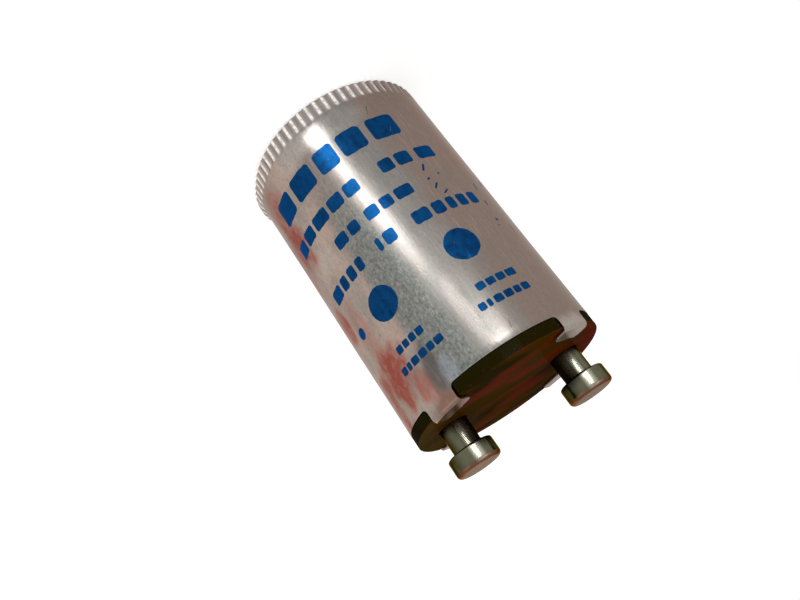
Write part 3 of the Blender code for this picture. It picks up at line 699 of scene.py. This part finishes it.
blue_ink, place = new_finish("blue_ink")
coat = grain(place, (1.6, 1.6, 1.2), detail=4)
pinholes = grain(place, (6.0, 6.0, 5.0), detail=2, offset=(4, 4, 4))
wear_and_sheen = between(pinholes, 0.70, 0.80)
tint = mixed(between(coat, 0.25, 0.65), INK_DEEP, INK_BLUE)
set_finish(
    blue_ink,
    {
        "Base Color": mixed(wear_and_sheen, tint, BARE_METAL),
        "Metallic": between(coat, 0.2, 0.8, 0.90, 1.0),
        "Specular Tint": INK_SHEEN,
        "Roughness": 0.32 + 0.12 * coat,
        "Normal": bump(coat * 0.6 + pinholes * 0.4, INK_GRAIN),
    },
)

draw = random.Random(7)
printing = bmesh.new()
for up, height, corner, bars in BAR_ROWS:
    for start, end in bars:
        width = abs(math.radians(end - start)) * CAN_RADIUS / MM
        lay_field(printing, (start + end) / 2, up, width, height, corner, ragged=INK_RAGGED, draw=draw)
for middle, up, radius in DOTS:
    lay_field(printing, middle, up, 2 * radius, 2 * radius, radius, ragged=INK_RAGGED, draw=draw)
for middle, up, length, width, turn in STRAY_INK:
    lay_field(printing, middle, up, length, width, width / 2, turn=turn)
print_piece = piece_from("can_printing", printing, blue_ink, smooth_angle=180)

scratch_dark, place = new_finish("scratch_dark")
scratch_tone = mixed(grain(place, (3, 3, 3)), SCRATCH_DARK, SCRATCH_GREY)
set_finish(scratch_dark, {"Base Color": scratch_tone, "Metallic": 0.4, "Roughness": 0.6})
scratches = bmesh.new()
for middle, up, length, width, turn in SCRATCHES:
    lay_field(scratches, middle, up, length, width, width / 2, turn=turn)
scratch_piece = piece_from("can_scratches", scratches, scratch_dark, smooth_angle=180)


# The base disc: moulded brown phenolic, with a gloss from its mould. The can's tabs clamp it in
# four notches of its rim. Each pin's neck stands in a shallow seat, over a hole for its shank.

DISC_RADIUS = 10.17 * MM
DISC_INNER_Z = 31.5 * MM
DISC_OUTER_Z = 32.75 * MM
DISC_EDGE = 0.16 * MM
DISC_EDGE_STEPS = 4
DISC_EDGE_ANGLE = math.radians(50)
NOTCH_HALF = TAB_HALF + 0.2 * MM
NOTCH_BOTTOM = 9.55 * MM
PIN_X = 6.35 * MM
SEAT_RADIUS = 1.53 * MM
SEAT_Z = 32.6 * MM
SHANK_HOLE_RADIUS = 1.05 * MM
DISC_ARC_STEPS = 48
HOLE_STEPS = 64
DRILL_PAST = 1 * MM


def disc_outline():
    """The disc's rim as places in X and Y: four arcs with a notch for each tab between them."""
    corner = math.degrees(math.asin(NOTCH_HALF / DISC_RADIUS))
    angles = [math.degrees(angle) for angle in tab_angles()]
    outline = []
    for here, following in zip(angles, angles[1:] + [angles[0] + 360]):
        turn = Matrix.Rotation(math.radians(here), 2)
        outline += [tuple(turn @ Vector((NOTCH_BOTTOM, side))) for side in (-NOTCH_HALF, NOTCH_HALF)]
        outline += arc((0, 0), DISC_RADIUS, here + corner, following - corner, DISC_ARC_STEPS)
    return outline


def drill(piece, x_place, radius, bottom, top):
    """Cuts a round hole through a piece, between two heights."""
    shape = bmesh.new()
    bmesh.ops.create_cone(
        shape, cap_ends=True, segments=HOLE_STEPS, radius1=radius, radius2=radius, depth=top - bottom
    )
    bmesh.ops.translate(shape, verts=shape.verts, vec=(x_place, 0, (top + bottom) / 2))
    mesh = bpy.data.meshes.new("drill")
    shape.to_mesh(mesh)
    shape.free()
    bit = bpy.data.objects.new("drill", mesh)
    bpy.context.scene.collection.objects.link(bit)
    hole = piece.modifiers.new("hole", "BOOLEAN")
    hole.operation = "DIFFERENCE"
    hole.solver = "EXACT"
    hole.object = bit
    bpy.context.view_layer.update()
    graph = bpy.context.evaluated_depsgraph_get()
    drilled = bpy.data.meshes.new_from_object(piece.evaluated_get(graph))
    piece.modifiers.clear()
    piece.data = drilled
    bpy.data.objects.remove(bit)


PHENOLIC_DARK = (0.052, 0.022, 0.0006, 1)
PHENOLIC_RED = (0.112, 0.0125, 0.0006, 1)
PHENOLIC_OLIVE = (0.066, 0.040, 0.005, 1)
PHENOLIC_PAINTED_DARK = (0.012, 0.0095, 0.0010, 1)
MOULD_DUST = (0.16, 0.12, 0.09, 1)

# In mm: where along X the disc turns redder, a painted reflection, and where it turns olive, and
# the heights where its edge is darkened as painted shade.
RED_REFLECTION_SIDE = (-7.0, -9.0)
OLIVE_SIDE = (6.5, 9.0)
SHADED_EDGE_Z = (32.72, 32.60)
MOULD_GRAIN = 0.01

phenolic, place = new_finish("disc_phenolic")
x = place.node("SeparateXYZ", inputs={0: place})
z = x.beside("Z")
flow = grain(place, (0.13, 0.40, 0.3), detail=2, roughness=0.45, offset=(1, 2, 3))
dark_reflection_clouds = grain(place, (0.16, 0.30, 0.3), detail=2, roughness=0.4, offset=(6, 1, 4))
filler = grain(place, (4.5, 4.5, 4.5), detail=3)
scratches_fine = grain(place, (9.0, 0.5, 2.0), detail=3, offset=(3, 0, 5))
body = mixed(between(flow, 0.46, 0.62), PHENOLIC_DARK, PHENOLIC_RED)
# Dark clouds of painted reflection over the face.
body = mixed(between(dark_reflection_clouds, 0.50, 0.68) * 0.75, body, PHENOLIC_PAINTED_DARK)
# Redder towards -X: painted reflection.
body = mixed(between(x, *RED_REFLECTION_SIDE) * 0.8, body, PHENOLIC_RED)
body = mixed(between(x, *OLIVE_SIDE) * 0.8, body, PHENOLIC_OLIVE)
# The disc's side, below its top face, is painted dark: painted shade.
body = mixed(between(z, *SHADED_EDGE_Z), body, PHENOLIC_PAINTED_DARK)
set_finish(
    phenolic,
    {
        "Base Color": mixed(between(filler, 0.62, 0.80) * 0.35, body, MOULD_DUST),
        "Roughness": 0.25 + 0.16 * between(flow, 0.3, 0.7) + 0.10 * between(scratches_fine, 0.5, 0.75),
        "Specular IOR Level": 0.0,
        "Coat Weight": between(flow, 0.30, 0.70, 0.004, 0.016),
        "Coat Roughness": 0.06,
        "Normal": bump(filler * 0.3 + flow * 2.0 + scratches_fine * 0.2, MOULD_GRAIN),
    },
)

blank = bmesh.new()
corners = [blank.verts.new((x_place, y_place, DISC_INNER_Z)) for x_place, y_place in disc_outline()]
raised = bmesh.ops.extrude_face_region(blank, geom=[blank.faces.new(corners)])["geom"]
raised_corners = [item for item in raised if isinstance(item, bmesh.types.BMVert)]
bmesh.ops.translate(blank, verts=raised_corners, vec=(0, 0, DISC_OUTER_Z - DISC_INNER_Z))
bmesh.ops.recalc_face_normals(blank, faces=blank.faces)
disc = piece_from("disc_moulded", blank, phenolic)
for side in (-1, 1):
    drill(disc, side * PIN_X, SHANK_HOLE_RADIUS, DISC_INNER_Z - DRILL_PAST, DISC_OUTER_Z + DRILL_PAST)
    drill(disc, side * PIN_X, SEAT_RADIUS, SEAT_Z, DISC_OUTER_Z + DRILL_PAST)
rim = disc.modifiers.new("moulded_edge", "BEVEL")
rim.width = DISC_EDGE
rim.segments = DISC_EDGE_STEPS
rim.limit_method = "ANGLE"
rim.angle_limit = DISC_EDGE_ANGLE
rim.use_clamp_overlap = True
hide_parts("base_disc")


# The two contact pins: turned brass with a dull nickel plate. A thin shank goes through the disc
# and is riveted over inside, a neck stands on the disc, and a wide flat head keeps the pin in the
# holder. The plate is stained and pitted, and darker at the disc and under the head. Its colour
# also holds painted light: lit faces and shaded sides, a painted highlight up each pin, and a
# painted darker head end.

PIN_STEPS = 96
HEAD_RADIUS = 2.37 * MM
HEAD_Z = 35.43 * MM
HEAD_END_Z = 37.33 * MM
HEAD_END_EDGE = 0.4 * MM
HEAD_NECK_EDGE = 0.2 * MM
NECK_RADIUS = 1.48 * MM
NECK_Z = 32.65 * MM
SHANK_RADIUS = 1.0 * MM
RIVET_Z = 31.15 * MM
RIVET_RADIUS = 1.5 * MM
RIVET_HEIGHT = 0.5 * MM
RIVET_DIMPLE = 0.45 * MM
RIVET_SWEEP = 60
ROOT_RADIUS = 0.12 * MM
HEAD_END_RINGS = (0.6 * MM, 1.4 * MM)


def pin_profile():
    """Radius and height of the pin's outline, from the middle of its head's end down to the rivet."""
    profile = [(radius, HEAD_END_Z) for radius in HEAD_END_RINGS]
    profile += arc((HEAD_RADIUS - HEAD_END_EDGE, HEAD_END_Z - HEAD_END_EDGE), HEAD_END_EDGE, 90, 0, 8)
    profile += [(HEAD_RADIUS, (HEAD_Z + HEAD_END_Z) / 2)]
    profile += arc((HEAD_RADIUS - HEAD_NECK_EDGE, HEAD_Z + HEAD_NECK_EDGE), HEAD_NECK_EDGE, 0, -90, 5)
    profile += arc((NECK_RADIUS + ROOT_RADIUS, HEAD_Z - ROOT_RADIUS), ROOT_RADIUS, 90, 180, 4)
    profile += [(NECK_RADIUS, (HEAD_Z + NECK_Z) / 2), (NECK_RADIUS, NECK_Z)]
    profile += [(SHANK_RADIUS, NECK_Z), (SHANK_RADIUS, RIVET_Z)]
    bulge = arc((0, 0), 1, 0, -RIVET_SWEEP, 6)
    full_height = RIVET_HEIGHT / math.sin(math.radians(RIVET_SWEEP))
    profile += [(RIVET_RADIUS * across, RIVET_Z + full_height * down) for across, down in bulge]
    return profile + [(RIVET_DIMPLE, RIVET_Z - RIVET_HEIGHT)]


def pin_shape(x_place):
    """The pin as a closed skin of rings round its own axis."""
    shape = bmesh.new()
    turns = [-math.tau * i / PIN_STEPS for i in range(PIN_STEPS)]
    rings = []
    for radius, height in pin_profile():
        ring = [(x_place + radius * math.cos(a), radius * math.sin(a), height) for a in turns]
        rings.append([shape.verts.new(point) for point in ring])
    for ring, following in zip(rings, rings[1:]):
        skin(shape, ring, following, closed=True)
    for ring, height in ((rings[0], HEAD_END_Z), (rings[-1], RIVET_Z - RIVET_HEIGHT / 2)):
        middle = shape.verts.new((x_place, 0, height))
        for i, point in enumerate(ring):
            shape.faces.new((middle, point, ring[(i + 1) % PIN_STEPS]))
    bmesh.ops.recalc_face_normals(shape, faces=shape.faces)
    return shape


# Painted light on each pin's faces, and painted shade on its sides.
PLATE_LIT = (0.108, 0.104, 0.066, 1)
PLATE_SHADED = (0.042, 0.037, 0.015, 1)
PLATE_GREEN = (0.070, 0.085, 0.055, 1)
# Painted highlight up each pin.
PLATE_HIGHLIGHT = (0.34, 0.34, 0.27, 1)
# Painted shade on the head's end and its rim, in brown and grey.
END_SHADE_BROWN = (0.140, 0.052, 0.036, 1)
END_SHADE_GREY = (0.172, 0.122, 0.096, 1)
# A darker tone: rings at the disc and under the head, and the pits.
PIN_DARK = (0.045, 0.036, 0.022, 1)
PLATE_TINT = (0.45, 0.38, 0.30, 1)

# Heights and distances from the pin's axis, in mm, where each mark begins and where it is full.
HEAD_END_MARK = (37.1, 37.3)
HEAD_EDGE_MARK = (36.85, 37.05)
HEAD_RIM_MARK = (1.95, 2.15)
NEAR_DISC_DARK = (33.3, 32.8)
ROOT_HEIGHT = 35.4
UNDER_HEAD_DARK = (0.22, 0.04)
ROOT_FADE = (2.0, 1.6)
# Degrees to each side of the painted highlight's line where it ends and where it is full.
HIGHLIGHT_REACH = (19, 7)
# Turning marks, in radians a mm: outwards over the head's end, and up the sides.
FACING_MARKS = 38
SIDE_MARKS = 52
PLATE_RELIEF = 0.005


def plated_finish(name, x_place, highlight_at):
    """Dull nickel over brass, with a painted highlight in a line up the pin at so many degrees from its
    front.
    """
    finish, place = new_finish(name)
    own = place.node("VectorMath", {"operation": "SUBTRACT"}, {0: place, 1: (x_place / MM, 0, 0)})
    x = own.node("SeparateXYZ", inputs={0: own})
    y, z = x.beside("Y"), x.beside("Z")
    flat = own.node("VectorMath", {"operation": "MULTIPLY"}, {0: own, 1: (1, 1, 0)})
    off_axis = (x * x + y * y) ** 0.5 + 0.01
    facing = own.node("VectorMath", {"operation": "SCALE"}, {0: flat, "Scale": 1 / off_axis})
    dull = grain(facing, (1.25, 1.25, 1.0), detail=1.5, offset=(6.0, 2.0, 0.0))
    stain = grain(place, (1.1, 1.1, 0.8), detail=3, offset=(5, 2, 8))
    pits = grain(place, (7, 7, 7), detail=2)
    facing_marks = (off_axis * FACING_MARKS).maths("SINE") * 0.5 + 0.5
    side_marks = (z * SIDE_MARKS).maths("SINE") * 0.5 + 0.5
    on_end = between(z, *HEAD_END_MARK)

    # Painted light and shade round each pin: lit at its front and back, shaded at its sides.
    lit_face_share = abs(y / off_axis) + (dull - 0.5) * 0.8
    colour = mixed(between(lit_face_share, 0.45, 0.98), PLATE_SHADED, PLATE_LIT)
    colour = mixed(between(stain, 0.48, 0.66) * 0.6, colour, PLATE_GREEN)
    turn = x.maths("ARCTAN2", 0 - y) * math.degrees(1)
    painted_streak = between(abs(turn - highlight_at) + (dull - 0.5) * 12, *HIGHLIGHT_REACH)
    colour = mixed(painted_streak * 0.9, colour, PLATE_HIGHLIGHT)
    # The head's end is painted darker, as painted shade.
    colour = mixed(on_end, colour, mixed(between(stain, 0.42, 0.70), END_SHADE_BROWN, END_SHADE_GREY))
    on_edge = between(off_axis, *HEAD_RIM_MARK) * between(z, *HEAD_EDGE_MARK)
    colour = mixed(on_edge * between(stain, 0.30, 0.60, 0.2, 0.7), colour, END_SHADE_BROWN)
    # Darker in a ring at the disc and under the head.
    under_head = between(abs(z - ROOT_HEIGHT), *UNDER_HEAD_DARK) * between(off_axis, *ROOT_FADE)
    darkened = (between(z, *NEAR_DISC_DARK) + under_head).maths("MINIMUM", 1.0)
    colour = mixed(darkened * 0.7, colour, PIN_DARK)
    colour = mixed(between(pits, 0.66, 0.80) * 0.6, colour, PIN_DARK)

    relief = facing_marks * on_end * 0.5 + (side_marks * 0.4 + dull * 0.8) * (1 - on_end) + pits * 0.4
    set_finish(
        finish,
        {
            "Base Color": colour,
            "Metallic": 1.0,
            "Specular Tint": PLATE_TINT,
            "Roughness": 0.12 + 0.12 * (dull + on_end * (stain - dull)) + 0.05 * stain,
            "Normal": bump(relief, PLATE_RELIEF),
        },
    )
    return finish


# Each pin: its node, its side of the disc, and the degrees from its front where its painted highlight runs.
PINS = [("contact_pin_left", -1, 4.0), ("contact_pin_right", 1, -5.0)]
for node, side, highlight_at in PINS:
    plate = plated_finish(node + "_plate", side * PIN_X, highlight_at)
    pin = piece_from(node + "_turned", pin_shape(side * PIN_X), plate)
    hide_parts(node)


# The liner: a strip of brown insulating paper, rolled into a sleeve. It is slipped into the can
# before the works, and keeps the live parts off the metal wall.


def dress(names, finish):
    """Gives CAD nodes a finish, and leaves their shapes alone."""
    for name in names:
        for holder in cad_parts[name].material_slots:
            holder.material = finish


KRAFT = (0.36, 0.23, 0.12, 1)
KRAFT_DARK = (0.24, 0.145, 0.07, 1)
PAPER_RELIEF = 0.02

paper, place = new_finish("liner_paper")
fibres = grain(place, (2.5, 2.5, 9.0), detail=5, roughness=0.7)
pulp = grain(place, (0.5, 0.5, 0.5), detail=3)
set_finish(
    paper,
    {
        "Base Color": mixed(between(fibres * 0.6 + pulp * 0.4, 0.35, 0.65), KRAFT_DARK, KRAFT),
        "Roughness": 0.75 + 0.15 * fibres,
        "Normal": bump(fibres, PAPER_RELIEF),
    },
)
dress(["insulating_liner"], paper)


# The solder lugs: stamped brass tags. A washer lies under each pin's rivet, and an ear takes the
# wires, with a dull film of tin and flux round its holes.

BRASS = (0.56, 0.38, 0.15, 1)
BRASS_DULL = (0.33, 0.22, 0.10, 1)
TIN_FILM = (0.55, 0.54, 0.50, 1)
# Heights in mm where the tin film starts and where it is full.
TINNED_BELOW = (30.6, 29.9)
ROLLED_RELIEF = 0.003

brass, place = new_finish("lug_brass")
tarnish = grain(place, (0.9, 0.9, 0.9), detail=4)
rolled = grain(place, (0.6, 9.0, 9.0), detail=3)
up = place.node("SeparateXYZ", inputs={0: place}).beside("Z")
tinned = between(up + tarnish * 1.2, *TINNED_BELOW)
set_finish(
    brass,
    {
        "Base Color": mixed(tinned * 0.8, mixed(between(tarnish, 0.35, 0.65), BRASS, BRASS_DULL), TIN_FILM),
        "Metallic": 1.0,
        "Roughness": 0.26 + 0.2 * tarnish,
        "Normal": bump(rolled, ROLLED_RELIEF),
    },
)
dress(["solder_lug_left", "solder_lug_right"], brass)


# The glow lamp: a clear glass envelope sealed round a pressed glass stem, with a grey film of
# sputtered metal inside it towards its domed end.

GLASS_CLEAR = (0.93, 0.95, 0.93, 1)
GLASS_GREY = (0.45, 0.46, 0.46, 1)
# Heights in mm where the grey film starts and where it is full.
FILM_BELOW = (20, 10)

glass, place = new_finish("lamp_glass")
film = grain(place, (0.35, 0.35, 0.35), detail=3)
up = place.node("SeparateXYZ", inputs={0: place}).beside("Z")
filmed = between(film, 0.4, 0.7) * between(up, *FILM_BELOW)
set_finish(
    glass,
    {
        "Base Color": mixed(filmed * 0.6, GLASS_CLEAR, GLASS_GREY),
        "Roughness": 0.03 + 0.05 * film,
        "Transmission Weight": 0.9,
        "IOR": 1.5,
    },
)
dress(["glow_bulb_envelope", "glow_bulb_stem"], glass)


# The wires and the bimetal strip: tinned copper wire carries the lamp and the capacitor, and a
# bent strip of two rolled metals stands beside the fixed electrode inside the lamp.

TINNED = (0.60, 0.60, 0.58, 1)
TINNED_DULL = (0.36, 0.36, 0.35, 1)
STRIP_STEEL = (0.50, 0.47, 0.43, 1)
STRIP_BLUED = (0.27, 0.24, 0.27, 1)
DIP_RELIEF = 0.01

tinned_wire, place = new_finish("tinned_wire")
dip = grain(place, (2.0, 2.0, 1.0), detail=3)
set_finish(
    tinned_wire,
    {
        "Base Color": mixed(between(dip, 0.35, 0.65), TINNED, TINNED_DULL),
        "Metallic": 1.0,
        "Roughness": 0.25 + 0.2 * dip,
        "Normal": bump(dip, DIP_RELIEF),
    },
)
dress(["electrode_lead", "bimetal_lead", "capacitor_lead_left", "capacitor_lead_right"], tinned_wire)

strip_metal, place = new_finish("bimetal_strip_metal")
heat = grain(place, (0.4, 0.4, 0.25), detail=3)
rolling = grain(place, (12.0, 12.0, 0.8), detail=2)
set_finish(
    strip_metal,
    {
        "Base Color": mixed(between(heat, 0.35, 0.7), STRIP_STEEL, STRIP_BLUED),
        "Metallic": 1.0,
        "Roughness": 0.28 + 0.2 * rolling,
        "Normal": bump(rolling, ROLLED_RELIEF),
    },
)
dress(["bimetal_strip"], strip_metal)


# The capacitor: a small ceramic disc, dipped in ochre lacquer that dries with a matt, pitted skin.
# Its two wires join it to the solder lugs, across the lamp.

DIP_OCHRE = (0.45, 0.20, 0.035, 1)
DIP_BROWN = (0.27, 0.11, 0.02, 1)
LACQUER_RELIEF = 0.03

lacquer, place = new_finish("capacitor_lacquer")
skin_grain = grain(place, (1.6, 1.6, 1.6), detail=3)
pooled = grain(place, (0.3, 0.3, 0.3), detail=2)
set_finish(
    lacquer,
    {
        "Base Color": mixed(between(pooled, 0.35, 0.65), DIP_OCHRE, DIP_BROWN),
        "Roughness": 0.42 + 0.15 * skin_grain,
        "Normal": bump(skin_grain, LACQUER_RELIEF),
    },
)
dress(["capacitor_body"], lacquer)

bpy.context.view_layer.update()
